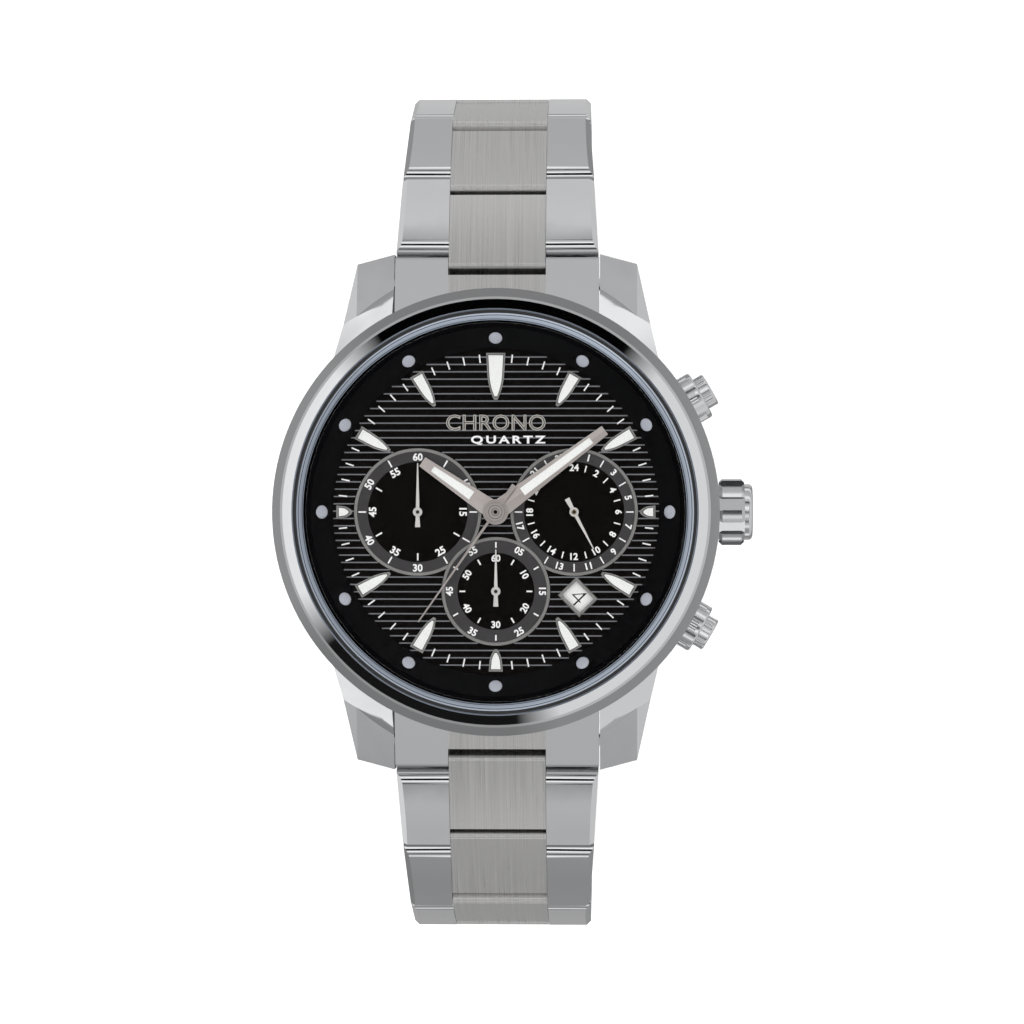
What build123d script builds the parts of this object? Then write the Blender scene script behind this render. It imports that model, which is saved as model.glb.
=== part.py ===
from build123d import *
from math import cos, radians, sin
import os

# Chronograph wristwatch, millimetres.
# Origin: centre of the case back's outer face. +Z out through the dial,
# +Y towards 12 o'clock, +X towards the crown.

os.makedirs("parts", exist_ok=True)

# ------------------------------------------------------------ main dimensions
BEZEL_R = 21.5                  # 43 mm case
BARREL_R = 21.2
BARREL_LOW, BARREL_TOP = 1.0, 7.5
BORE_R = 17.65                  # room for the movement
LUG_GAP = 20.0                  # bracelet width between the lugs
LUG_LOW = 0.2
LUG_RIDGE_X = 13.6
STEM_Z = 3.9                    # height of crown and pushers
CROWN_R = 3.2
PUSHER_ANGLE = 30.0
COLLAR_R = 2.4                  # screwed collar round each pusher

DIAL_LOW, DIAL_TOP = 6.0, 6.4
DIAL_R = 17.5
SIDE_DIAL_X, SIDE_DIAL_R, SIDE_DIAL_IN = 7.53, 6.14, 4.82
LOW_DIAL_Y, LOW_DIAL_R, LOW_DIAL_IN = -7.64, 5.23, 3.71
DATE_RADIUS, DATE_ANGLE = 11.36, 136.0

MODULE = 7.53 / 68              # gear train reaches the 24-hour dial's centre
WHEEL_DISTANCE = 20 * MODULE    # centre to minute wheel
IDLER_X = 26 * MODULE           # centre to idler
WHEEL_ANGLE = 200.0             # where the minute wheel sits

PITCH = 8.0                     # between bracelet pins
CENTRE_HALF = 4.7               # brushed centre row
PIN_R = 0.49
HINGE_0 = (24.05, 2.2)          # first bracelet pin, (y, z)
HEADINGS = (22, 38, 70, 102, 128, 150, 168)
HALF_WIDTHS = (9.9, 9.45, 9.0, 9.0, 9.0, 9.0, 9.0, 9.0)
BAR_Y, BAR_Z, BAR_R = 22.2, 2.0, 0.6


def save(builder, name):
    """Label a finished piece and write it."""
    builder.part.label = name
    export_step(builder.part, f"parts/{name}.step")


def clock_plane(z, angle=0.0, centre=(0.0, 0.0)):
    """Plane at height z whose local Y points at a clock angle."""
    a = radians(angle)
    return Plane(origin=(centre[0], centre[1], z), x_dir=(cos(a), -sin(a), 0), z_dir=(0, 0, 1))


def radial_plane(angle, distance):
    """Plane facing outwards, at a distance from the watch's axis, at stem height."""
    a = radians(angle)
    return Plane(
        origin=(distance * cos(a), distance * sin(a), STEM_Z),
        x_dir=(0, 0, 1),
        z_dir=(cos(a), sin(a), 0),
    )


def ring(low, high, inner, outer):
    """Plain ring about the watch's axis."""
    with BuildPart() as piece:
        with BuildSketch(Plane.XY.offset(low)):
            Circle(outer)
            Circle(inner, mode=Mode.SUBTRACT)
        extrude(amount=high - low)
    return piece


# ------------------------------------------------------------------- mid case
LUG_OUTLINE = ((10, 14), (10, 25.07), (LUG_RIDGE_X, 24.1), (15.6, 14.9), (13.0, 12.0))
LUG_SLOPE, LUG_ROLL = radians(15), radians(19)
RIDGE = (LUG_RIDGE_X, 21.7, 4.15)

with BuildPart() as lug:
    with BuildSketch(Plane.XY.offset(LUG_LOW)):
        Polygon(*LUG_OUTLINE, align=None)
    extrude(amount=8)
    split(bisect_by=Plane(origin=RIDGE, z_dir=(0, sin(LUG_SLOPE), cos(LUG_SLOPE))), keep=Keep.BOTTOM)
    roll = (sin(LUG_ROLL), cos(LUG_ROLL) * sin(LUG_SLOPE), cos(LUG_ROLL) * cos(LUG_SLOPE))
    split(bisect_by=Plane(origin=RIDGE, z_dir=roll), keep=Keep.BOTTOM)

with BuildPart() as shoulder:
    with BuildSketch(Plane.XY.offset(LUG_LOW)):
        Polygon(*LUG_OUTLINE, align=None)
    extrude(amount=7.2)
    with BuildSketch(Plane.XZ):
        Polygon((0, LUG_LOW), (26.73, LUG_LOW), (21.5, 7.4), (0, 7.4), align=None)
    revolve(axis=Axis.Z, mode=Mode.INTERSECT)

with BuildPart() as mid_case:
    with BuildSketch(Plane.XZ):
        Polygon(
            (0, BARREL_LOW), (20.8, BARREL_LOW), (BARREL_R, BARREL_LOW + 0.4),
            (BARREL_R, BARREL_TOP), (0, BARREL_TOP), align=None,
        )
    revolve(axis=Axis.Z)
    add(lug.part)
    add(shoulder.part)
    mirror(lug.part, about=Plane.YZ)
    mirror(shoulder.part, about=Plane.YZ)
    mirror(about=Plane.XZ)
    with BuildSketch(Plane.XY.offset(-1)):
        Circle(BORE_R)
    extrude(amount=12, mode=Mode.SUBTRACT)
    # case back sits under the barrel, its gasket in a groove
    with BuildSketch(Plane.XY.offset(-1)):
        Circle(19.3)
    extrude(amount=1 + BARREL_LOW, mode=Mode.SUBTRACT)
    with BuildSketch(Plane.XY.offset(BARREL_LOW)):
        Circle(18.85)
        Circle(18.05, mode=Mode.SUBTRACT)
    extrude(amount=0.5, mode=Mode.SUBTRACT)
    # crown tube and pusher collars
    with BuildSketch(radial_plane(0, 17)):
        Circle(1.8)
    extrude(amount=6, mode=Mode.SUBTRACT)
    for angle in (PUSHER_ANGLE, -PUSHER_ANGLE):
        with BuildSketch(radial_plane(angle, 17)):
            Circle(1.76)
        extrude(amount=6, mode=Mode.SUBTRACT)
        with BuildSketch(radial_plane(angle, 20.8)):
            Circle(COLLAR_R + 0.05)
        extrude(amount=3, mode=Mode.SUBTRACT)
    # spring bar holes in the lugs
    for y in (BAR_Y, -BAR_Y):
        with BuildSketch(Plane(origin=(-11.6, y, BAR_Z), z_dir=(1, 0, 0))):
            Circle(BAR_R + 0.01)
        extrude(amount=23.2, mode=Mode.SUBTRACT)
save(mid_case, "mid_case")

# ---------------------------------------------------- bezel, crystal, flange
with BuildPart() as bezel:
    with BuildSketch(Plane.XZ):
        Polygon(
            (18.2, 7.5), (21.3, 7.5), (21.5, 7.65), (21.5, 8.1), (20.6, 9.5), (20.35, 9.75),
            (19.45, 10.05), (19.3, 9.9), (19.3, 8.4), (18.2, 8.4), align=None,
        )
    revolve(axis=Axis.Z)
save(bezel, "bezel")

with BuildPart() as crystal:
    with BuildSketch(Plane.XZ):
        Polygon((0, 8.4), (19.0, 8.4), (19.0, 9.85), (18.3, 10.3), (0, 10.3), align=None)
    revolve(axis=Axis.Z)
save(crystal, "crystal")

save(ring(8.42, 9.7, 19.02, 19.28), "crystal_gasket")

with BuildPart() as inner_flange:
    with BuildSketch(Plane.XZ):
        Polygon(
            (15.72, DIAL_TOP), (15.72, 6.7), (17.7, 8.1), (17.75, 8.35), (18.12, 8.35),
            (18.12, 7.6), (17.55, 7.52), (17.55, DIAL_TOP), align=None,
        )
    revolve(axis=Axis.Z)
save(inner_flange, "inner_flange")

# ----------------------------------------------------------------------- dial
SIDE_DIALS = ((-SIDE_DIAL_X, 0), (SIDE_DIAL_X, 0))
LOW_DIAL = (0, LOW_DIAL_Y)
SUBDIALS = (
    (SIDE_DIALS[0], SIDE_DIAL_R, SIDE_DIAL_IN),
    (SIDE_DIALS[1], SIDE_DIAL_R, SIDE_DIAL_IN),
    (LOW_DIAL, LOW_DIAL_R, LOW_DIAL_IN),
)

with BuildPart() as dial:
    with BuildSketch(Plane.XY.offset(DIAL_LOW)):
        Circle(DIAL_R)
    extrude(amount=DIAL_TOP - DIAL_LOW)
    for centre, outer, inner in SUBDIALS:
        # each subdial lies over the ones before it
        with BuildSketch(Plane.XY.offset(DIAL_LOW)):
            with Locations(centre):
                Circle(outer)
        extrude(amount=DIAL_TOP - DIAL_LOW)
        with BuildSketch(Plane.XY.offset(DIAL_TOP - 0.06)):
            with Locations(centre):
                Circle(outer)
        extrude(amount=1, mode=Mode.SUBTRACT)
        with BuildSketch(Plane.XY.offset(DIAL_TOP - 0.12)):
            with Locations(centre):
                Circle(inner)
        extrude(amount=1, mode=Mode.SUBTRACT)
    with BuildSketch(Plane.XY.offset(DIAL_LOW - 1)):
        Circle(1.0)
        with Locations(*SIDE_DIALS, LOW_DIAL):
            Circle(0.32)
    extrude(amount=3, mode=Mode.SUBTRACT)
    with BuildSketch(clock_plane(DIAL_LOW - 1, DATE_ANGLE)):
        with Locations((0, DATE_RADIUS)):
            Rectangle(1.9, 2.4)
    extrude(amount=3, mode=Mode.SUBTRACT)
save(dial, "dial")

with BuildPart() as subdial_rings:
    for centre, outer, inner in SUBDIALS:
        if centre == LOW_DIAL:
            # the lower ring cuts across both side rings
            with BuildSketch(Plane.XY.offset(DIAL_TOP - 1)):
                with Locations(centre):
                    Circle(outer + 0.03)
            extrude(amount=2, mode=Mode.SUBTRACT)
        with BuildSketch(Plane.XY.offset(DIAL_TOP - 0.06)):
            with Locations(centre):
                Circle(outer - 0.01)
                Circle(outer - 0.29, mode=Mode.SUBTRACT)
        extrude(amount=0.12)
        with BuildSketch(Plane.XY.offset(DIAL_TOP)):
            with Locations(centre):
                Circle(outer - 0.11)
                Circle(outer - 0.19, mode=Mode.SUBTRACT)
        extrude(amount=0.2, mode=Mode.SUBTRACT)
save(subdial_rings, "subdial_rings")


def bullet(outer, inner, width):
    """Marker outline: flat at the rim, slightly tapered, curved to a narrow tip inwards."""
    half, neck, tip = width / 2, 0.44 * width, 0.09 * width
    shoulder = inner + 0.55 * (outer - inner)
    bulge = (0.5 * (neck + tip) + 0.07 * width, 0.5 * (shoulder + inner))
    with BuildSketch() as outline:
        with BuildLine():
            Polyline((-neck, shoulder), (-half, outer), (half, outer), (neck, shoulder))
            ThreePointArc((neck, shoulder), bulge, (tip, inner))
            Line((tip, inner), (-tip, inner))
            ThreePointArc((-tip, inner), (-bulge[0], bulge[1]), (-neck, shoulder))
        make_face()
    return outline.sketch


def marker_size(hour):
    """Outer radius, inner radius and width of an applied marker."""
    if hour == 12:
        return 15.3, 10.78, 1.85
    if hour == 6:
        return 15.35, 13.2, 1.36
    if hour in (3, 9):
        return 15.35, 13.85, 1.27
    return 15.3, 11.75, 1.41


MARKERS = []
for hour in range(1, 13):
    outer, inner, width = marker_size(hour)
    block = bullet(outer, inner, width)
    pocket = bullet(outer - 0.15, inner + 0.25, width - 0.3)
    MARKERS.append((hour * 30, block, pocket))

with BuildPart() as hour_markers:
    for angle, block, pocket in MARKERS:
        with BuildSketch(clock_plane(DIAL_TOP, angle)):
            add(block)
        extrude(amount=0.3)
        with BuildSketch(clock_plane(DIAL_TOP + 0.2, angle)):
            add(pocket)
        extrude(amount=0.3, mode=Mode.SUBTRACT)
save(hour_markers, "hour_markers")

with BuildPart() as date_frame:
    with BuildSketch(clock_plane(DIAL_TOP, DATE_ANGLE)):
        with Locations((0, DATE_RADIUS)):
            Rectangle(2.52, 2.96)
            Rectangle(1.9, 2.4, mode=Mode.SUBTRACT)
    extrude(amount=0.16)
    top = date_frame.faces().sort_by(Axis.Z)[-1]
    chamfer(top.outer_wire().edges(), length=0.1)
save(date_frame, "date_frame")

# ------------------------------------------------------------------ case back
with BuildPart() as case_back:
    with BuildSketch(Plane.XZ):
        Polygon(
            (0, 0), (18.6, 0), (19.2, 0.5), (19.2, 1.0), (17.6, 1.0), (17.6, 2.0),
            (16.6, 2.0), (16.6, 0.8), (0, 0.8), align=None,
        )
    revolve(axis=Axis.Z)
    with BuildSketch(Plane.XY):
        Circle(14.2)
        Circle(13.9, mode=Mode.SUBTRACT)
    extrude(amount=0.15, mode=Mode.SUBTRACT)
    # notches for the opening tool
    with BuildSketch(Plane.XY):
        with PolarLocations(17.3, 6):
            Rectangle(1.6, 3.0)
    extrude(amount=0.5, mode=Mode.SUBTRACT)
save(case_back, "case_back")

save(ring(1.02, 1.48, 18.1, 18.8), "case_back_gasket")

# ------------------------------------------------------------------- movement
HUB_POCKET = 17 * MODULE + 0.12
WHEEL_AT = (
    WHEEL_DISTANCE * cos(radians(WHEEL_ANGLE)),
    WHEEL_DISTANCE * sin(radians(WHEEL_ANGLE)),
)
BATTERY_AT = (0, 9.3)
COILS = ((-8.6, -7.0, 35), (8.6, -7.0, -35))

with BuildPart() as main_plate:
    with BuildSketch(Plane.XY.offset(2.6)):
        Circle(15.0)
    extrude(amount=2.9)
    # hour wheel, idler and day wheel lie in one pocket, the minute wheel deeper
    with BuildSketch(Plane.XY.offset(4.97)):
        Circle(HUB_POCKET)
        with Locations((IDLER_X, 0)):
            Circle(11 * MODULE + 0.12)
        with Locations((SIDE_DIAL_X, 0)):
            Circle(33 * MODULE + 0.12)
        with Locations(WHEEL_AT):
            Circle(16 * MODULE + 0.12)
    extrude(amount=1, mode=Mode.SUBTRACT)
    with BuildSketch(Plane.XY.offset(4.62)):
        Circle(0.8)
        with Locations(WHEEL_AT):
            Circle(16 * MODULE + 0.12)
    extrude(amount=1, mode=Mode.SUBTRACT)
    # pivot holes
    with BuildSketch(Plane.XY.offset(4.0)):
        Circle(0.26)
        with Locations(WHEEL_AT, (IDLER_X, 0), *SIDE_DIALS, LOW_DIAL):
            Circle(0.3)
    extrude(amount=2, mode=Mode.SUBTRACT)
    with BuildSketch(Plane.XY.offset(2)):
        with Locations(BATTERY_AT):
            Circle(4.9)
        for x, y, turn in COILS:
            with Locations(Location((x, y, 0), turn)):
                Rectangle(8.0, 2.2)
    extrude(amount=2.9, mode=Mode.SUBTRACT)
    # winding stem and setting lever
    with BuildSketch(radial_plane(0, 13)):
        Circle(0.75)
    extrude(amount=4, mode=Mode.SUBTRACT)
    with Locations((11.1, 0, 3.85)):
        Box(4.2, 3.0, 1.9, mode=Mode.SUBTRACT)
save(main_plate, "main_plate")

with BuildPart() as movement_ring:
    with BuildSketch(Plane.XY.offset(2.05)):
        Circle(17.5)
        Circle(15.1, mode=Mode.SUBTRACT)
    extrude(amount=DIAL_LOW - 2.05)
    for angle in (0, PUSHER_ANGLE, -PUSHER_ANGLE):
        with BuildSketch(radial_plane(angle, 13)):
            Circle(0.75)
        extrude(amount=6, mode=Mode.SUBTRACT)
save(movement_ring, "movement_ring")

with BuildPart() as circuit_board:
    with BuildSketch(Plane.XY.offset(2.28)):
        Circle(13.5)
        with Locations((0, 9.5)):
            Rectangle(30, 10.4, mode=Mode.SUBTRACT)
    extrude(amount=0.3)
save(circuit_board, "circuit_board")

with BuildPart() as battery:
    with BuildSketch(Plane.XY.offset(2.7)):
        with Locations(BATTERY_AT):
            Circle(4.75)
    extrude(amount=2.0)
    fillet(battery.edges(), radius=0.15)
save(battery, "battery")

with BuildPart() as motor_coils:
    for x, y, turn in COILS:
        with Locations(Location((x, y, 3.7), turn)):
            Cylinder(0.85, 5.0, rotation=(0, 90, 0))
            Box(7.6, 0.7, 0.7)
save(motor_coils, "motor_coils")


def tooth_ring(teeth, phase=0.0):
    """Outline points of a small gear, with one tooth centred at the phase angle."""
    step = 360 / teeth
    pitch_r = MODULE * teeth / 2
    flank = (
        (pitch_r - 1.15 * MODULE, -0.33), (pitch_r, -0.22), (pitch_r + 0.85 * MODULE, -0.09),
        (pitch_r + 0.85 * MODULE, 0.09), (pitch_r, 0.22), (pitch_r - 1.15 * MODULE, 0.33),
    )
    points = []
    for tooth in range(teeth):
        for radius, share in flank:
            a = radians(phase + (tooth + share) * step)
            points.append((radius * cos(a), radius * sin(a)))
    return points


def meshing_phase(phase, teeth, direction, other_teeth):
    """Phase that puts a gear in mesh with another one lying in a direction from it."""
    return direction + 180 - ((phase - direction) * teeth + 180) / other_teeth


WHEEL_PHASE = meshing_phase(0, 10, WHEEL_ANGLE, 30)
HOUR_PHASE = meshing_phase(0, 8, WHEEL_ANGLE + 180, 32)
IDLER_PHASE = meshing_phase(HOUR_PHASE, 32, 0, 20)
DAY_PHASE = meshing_phase(IDLER_PHASE, 20, 0, 64)

with BuildPart() as cannon_pinion:
    with BuildSketch(Plane.XY.offset(4.7)):
        Polygon(*tooth_ring(10), align=None)
    extrude(amount=0.25)
    with BuildSketch(Plane.XY.offset(4.95)):
        Circle(0.42)
    extrude(amount=0.03)
    with BuildSketch(Plane.XY.offset(4.98)):
        Circle(0.58)
    extrude(amount=2.47)
    with BuildSketch(Plane.XY.offset(4)):
        Circle(0.27)
    extrude(amount=4, mode=Mode.SUBTRACT)
save(cannon_pinion, "cannon_pinion")

with BuildPart() as minute_wheel:
    with BuildSketch(Plane.XY.offset(4.7)):
        with Locations(WHEEL_AT):
            Polygon(*tooth_ring(30, WHEEL_PHASE), align=None)
    extrude(amount=0.25)
    with BuildSketch(Plane.XY.offset(4.95)):
        with Locations(WHEEL_AT):
            Polygon(*tooth_ring(8), align=None)
    extrude(amount=0.35)
    with BuildSketch(Plane.XY.offset(4.1)):
        with Locations(WHEEL_AT):
            Circle(0.25)
    extrude(amount=1.35)
save(minute_wheel, "minute_wheel")

with BuildPart() as hour_wheel:
    with BuildSketch(Plane.XY.offset(5.05)):
        Polygon(*tooth_ring(32, HOUR_PHASE), align=None)
    extrude(amount=0.25)
    with BuildSketch(Plane.XY.offset(5.05)):
        Circle(0.90)
    extrude(amount=2.0)
    with BuildSketch(Plane.XY.offset(4)):
        Circle(0.62)
    extrude(amount=4, mode=Mode.SUBTRACT)
save(hour_wheel, "hour_wheel")

with BuildPart() as day_idler:
    with BuildSketch(Plane.XY.offset(5.05)):
        with Locations((IDLER_X, 0)):
            Polygon(*tooth_ring(20, IDLER_PHASE), align=None)
    extrude(amount=0.25)
    with BuildSketch(Plane.XY.offset(4.1)):
        with Locations((IDLER_X, 0)):
            Circle(0.25)
    extrude(amount=1.35)
save(day_idler, "day_idler")

with BuildPart() as day_wheel:
    with BuildSketch(Plane.XY.offset(5.05)):
        with Locations((SIDE_DIAL_X, 0)):
            Polygon(*tooth_ring(64, DAY_PHASE), align=None)
    extrude(amount=0.25)
    with BuildSketch(Plane.XY.offset(4.1)):
        with Locations((SIDE_DIAL_X, 0)):
            Circle(0.24)
    extrude(amount=2.52)
save(day_wheel, "day_wheel")

with BuildPart() as date_disc:
    with BuildSketch(Plane.XY.offset(5.6)):
        Circle(13.0)
        Circle(9.8, mode=Mode.SUBTRACT)
        with PolarLocations(9.8, 31):
            Circle(0.3, mode=Mode.SUBTRACT)
    extrude(amount=0.2)
save(date_disc, "date_disc")


# ---------------------------------------------------------------------- hands
def baton_hand(z, angle, length, widths, window, hub_r, hole_r):
    """Roof-shaped hand with a sunk window for luminous paint."""
    base, tip = widths
    face = clock_plane(z, angle)
    with BuildPart() as hand:
        with BuildSketch(face):
            Polygon((-base / 2, 0), (-tip / 2, length), (tip / 2, length), (base / 2, 0), align=None)
        extrude(amount=0.2)
        with BuildSketch(Plane(origin=face.origin, x_dir=face.x_dir, z_dir=-face.y_dir)):
            Polygon((-1.5, 0), (1.5, 0), (base / 2, 0.07), (0, 0.2), (-base / 2, 0.07), align=None)
        extrude(amount=length + 1, both=True, mode=Mode.INTERSECT)
        with BuildSketch(face.offset(0.05)):
            near, near_half, far, far_half = window
            Polygon((-near_half, near), (-far_half, far), (far_half, far), (near_half, near), align=None)
        extrude(amount=1, mode=Mode.SUBTRACT)
        with BuildSketch(face):
            Circle(hub_r)
        extrude(amount=0.2)
        with BuildSketch(face.offset(-1)):
            Circle(hole_r)
        extrude(amount=3, mode=Mode.SUBTRACT)
    return hand


def needle_hand(z, angle, centre, length, widths, tail, hub, hole_r, thick=0.1):
    """Thin hand with a flared tail and a raised hub."""
    face = clock_plane(z, angle, centre)
    base, tip = widths
    tail_length, tail_near, tail_far = tail
    with BuildPart() as hand:
        with BuildSketch(face):
            Polygon((-base / 2, 0), (-tip / 2, length), (tip / 2, length), (base / 2, 0), align=None)
            Polygon(
                (-tail_near / 2, 0), (tail_near / 2, 0), (tail_far / 2, -tail_length),
                (-tail_far / 2, -tail_length), align=None,
            )
        extrude(amount=thick)
        with BuildSketch(face):
            Circle(hub[0])
        extrude(amount=hub[1])
        top = hand.faces().sort_by(Axis.Z)[-1]
        fillet(top.edges(), radius=0.05)
        with BuildSketch(face.offset(-1)):
            Circle(hole_r)
        extrude(amount=3, mode=Mode.SUBTRACT)
    return hand


def arbor(centre, low, high, radius):
    """Straight pin for a hand."""
    with BuildPart() as pin:
        with BuildSketch(Plane.XY.offset(low)):
            with Locations(centre):
                Circle(radius)
        extrude(amount=high - low)
    return pin


HOUR_WINDOW = (2.76, 0.48, 7.37, 0.29)
MINUTE_WINDOW = (3.2, 0.43, 11.5, 0.33)
hour_hand = baton_hand(6.85, 304.4, 8.56, (1.84, 1.04), HOUR_WINDOW, 1.22, 0.905)
save(hour_hand, "hour_hand")
minute_hand = baton_hand(7.25, 53.2, 13.1, (1.9, 1.0), MINUTE_WINDOW, 1.22, 0.585)
save(minute_hand, "minute_hand")
second_hand = needle_hand(
    7.62, 215.1, (0, 0), 12.9, (0.26, 0.13), (3.15, 0.40, 0.48), (0.87, 0.26), 0.205
)
save(second_hand, "second_hand")
save(arbor((0, 0), 4.05, 7.8, 0.20), "second_arbor")

SUB_TAIL, SUB_HUB = (1.46, 0.3, 0.5), (0.45, 0.22)
day_hand = needle_hand(6.5, 152.2, SIDE_DIALS[1], 4.0, (0.36, 0.1), SUB_TAIL, SUB_HUB, 0.25)
save(day_hand, "day_hand")

for name, centre, length in (
    ("chrono_minute_hand", SIDE_DIALS[0], 4.7),
    ("chrono_second_hand", LOW_DIAL, 4.03),
):
    hand = needle_hand(6.5, 0, centre, length, (0.36, 0.1), SUB_TAIL, SUB_HUB, 0.25)
    with BuildPart() as chrono_hand:
        add(hand.part)
        add(arbor(centre, 4.1, 6.62, 0.24).part)
    save(chrono_hand, name)

# -------------------------------------------------------------- crown, stem
with BuildPart() as crown_tube:
    with BuildSketch(radial_plane(0, 18.0)):
        Circle(1.79)
        Circle(0.95, mode=Mode.SUBTRACT)
    extrude(amount=4.9)
save(crown_tube, "crown_tube")

with BuildPart() as crown:
    with BuildSketch(radial_plane(0, 21.5)):
        Circle(CROWN_R)
    extrude(amount=2.45)
    chamfer(crown.edges(), length=0.3)
    # eight flat grooves leave eight bars
    with BuildSketch(radial_plane(0, 21.0)):
        with PolarLocations(CROWN_R + 0.05, 8, start_angle=7.7 + 22.5):
            Rectangle(0.9, 1.3)
    extrude(amount=4, mode=Mode.SUBTRACT)
    with BuildSketch(radial_plane(0, 23.5)):
        Circle(2.7)
    extrude(amount=1.25)
    outer_face = crown.faces().sort_by(Axis.X)[-1]
    fillet(outer_face.edges(), radius=0.4)
    with BuildSketch(radial_plane(0, 24.65)):
        Circle(1.9)
        Circle(1.65, mode=Mode.SUBTRACT)
    extrude(amount=1, mode=Mode.SUBTRACT)
    # room for the tube, and the stem's seat
    with BuildSketch(radial_plane(0, 21.0)):
        Circle(1.95)
    extrude(amount=2.2, mode=Mode.SUBTRACT)
    with BuildSketch(radial_plane(0, 23.0)):
        Circle(0.61)
    extrude(amount=0.8, mode=Mode.SUBTRACT)
save(crown, "crown")

with BuildPart() as winding_stem:
    with BuildSketch(radial_plane(0, 9.5)):
        Circle(0.6)
    extrude(amount=14.2)
    for x in (9.6, 10.65):
        with BuildSketch(radial_plane(0, x)):
            Circle(0.85)
        extrude(amount=0.2)
save(winding_stem, "winding_stem")

with BuildPart() as setting_lever:
    with Locations((10.225, 0, 3.85)):
        Box(0.7, 2.6, 1.6)
    with BuildSketch(radial_plane(0, 9)):
        Circle(0.66)
    extrude(amount=3, mode=Mode.SUBTRACT)
save(setting_lever, "setting_lever")

# -------------------------------------------------------------------- pushers


def pusher_collar(angle):
    """Round collar with six scallops that stop short of its outer end."""
    with BuildPart() as collar:
        with BuildSketch(radial_plane(angle, 20.8)):
            Circle(COLLAR_R)
        extrude(amount=2.0)
        fillet(collar.faces().sort_by(Axis.X)[-1].edges(), radius=0.2)
        with BuildSketch(radial_plane(angle, 20.8)):
            with PolarLocations(COLLAR_R + 0.42, 6):
                Circle(0.75)
        extrude(amount=1.5, mode=Mode.SUBTRACT)
        with BuildSketch(radial_plane(angle, 17.9)):
            Circle(1.75)
        extrude(amount=2.9)
        for start, length, radius in ((21.35, 2, 1.70), (19.5, 2, 1.3), (17, 3, 0.55)):
            with BuildSketch(radial_plane(angle, start)):
                Circle(radius)
            extrude(amount=length, mode=Mode.SUBTRACT)
    return collar


COLLARS = [pusher_collar(PUSHER_ANGLE), pusher_collar(-PUSHER_ANGLE)]

with BuildPart() as pusher_collars:
    for collar in COLLARS:
        add(collar.part)
save(pusher_collars, "pusher_collars")

for name, angle in (("pusher_start", PUSHER_ANGLE), ("pusher_reset", -PUSHER_ANGLE)):
    with BuildPart() as pusher:
        with BuildSketch(radial_plane(angle, 22.35)):
            Circle(1.64)
        extrude(amount=1.55)
        fillet(pusher.faces().sort_by(Axis.X)[-1].edges(), radius=0.2)
        with BuildSketch(radial_plane(angle, 22.85)):
            with PolarLocations(1.86, 6, start_angle=30):
                Circle(0.4)
        extrude(amount=0.8, mode=Mode.SUBTRACT)
        with BuildSketch(radial_plane(angle, 16.6)):
            Circle(0.5)
        extrude(amount=5.8)
    save(pusher, name)
    with BuildPart() as spring:
        with BuildLine():
            seat = radial_plane(angle, 19.68)
            coil = Helix(pitch=0.5, height=2.5, radius=0.9, center=seat.origin, direction=seat.z_dir)
        with BuildSketch(Plane(origin=coil @ 0, z_dir=coil % 0)):
            Circle(0.12)
        sweep()
    save(spring, f"{name}_spring")

# ------------------------------------------------------------------- bracelet
HINGES = [HINGE_0]
for heading in HEADINGS:
    y, z = HINGES[-1]
    HINGES.append((y + PITCH * cos(radians(heading)), z - PITCH * sin(radians(heading))))


def chain_plane(hinge, heading, side, x=0.0):
    """Side-view plane at a hinge: local X runs along the chain, local Y outwards."""
    a = radians(heading)
    return Plane(
        origin=(x, side * hinge[0], hinge[1]),
        x_dir=(0, side * cos(a), -sin(a)),
        z_dir=(side, 0, 0),
    )


def cross_rod(hinge, side, heading, at, half_length, radius):
    """Rod across the bracelet at a distance along the chain."""
    plane = chain_plane(hinge, heading, side, -side * half_length)
    with BuildPart() as rod:
        with BuildSketch(plane):
            with Locations((at, 0)):
                Circle(radius)
        extrude(amount=2 * half_length)
    return rod


def outer_piece(number, side):
    """Polished outer of one row, on the +X edge of the bracelet."""
    hinge, heading = HINGES[number - 1], HEADINGS[number - 1]
    near, far = HALF_WIDTHS[number - 1], HALF_WIDTHS[number]
    inner = CENTRE_HALF + 0.03
    plane = chain_plane(hinge, heading, side, inner if side > 0 else 11.0)
    end = PITCH + 0.7
    with BuildPart() as outer:
        with BuildSketch(plane) as profile:
            with BuildLine():
                crown_line = ThreePointArc((0.85, 1.5), (end / 2 + 0.4, 1.6), (end, 1.5))
                Polyline((end, 1.5), (end, 0), (PITCH + 0.12, -1.5), (1.43, -1.5), (0.85, 0), (0.85, 1.5))
            make_face()
            corners = profile.vertices().group_by(Axis.Y)[-1].sort_by(Axis.X)
            fillet(corners[0], radius=1.25)
            fillet(corners[-1], radius=0.25)
            with Locations((PITCH, 0)):
                Circle(0.5, mode=Mode.SUBTRACT)
        extrude(amount=11.0 - inner)
        # the side face tapers, and a broad chamfer runs along its top edge
        along = Vector(far - near, side * PITCH * cos(radians(heading)), -PITCH * sin(radians(heading)))
        up = plane.y_dir
        outwards = Vector(*(along.cross(up) if side > 0 else up.cross(along))).normalized()
        edge = Vector(near, side * hinge[0], hinge[1])
        split(bisect_by=Plane(origin=edge, z_dir=outwards), keep=Keep.BOTTOM)
        corner = edge + up * 1.5 - outwards * 0.45
        split(bisect_by=Plane(origin=corner, z_dir=outwards + up), keep=Keep.BOTTOM)
        with BuildSketch(chain_plane(hinge, heading, side, 7.0 if side < 0 else 0.0)):
            with Locations((4.2, 0)):
                Circle(0.5)
        extrude(amount=7.0, mode=Mode.SUBTRACT)
    return outer


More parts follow.
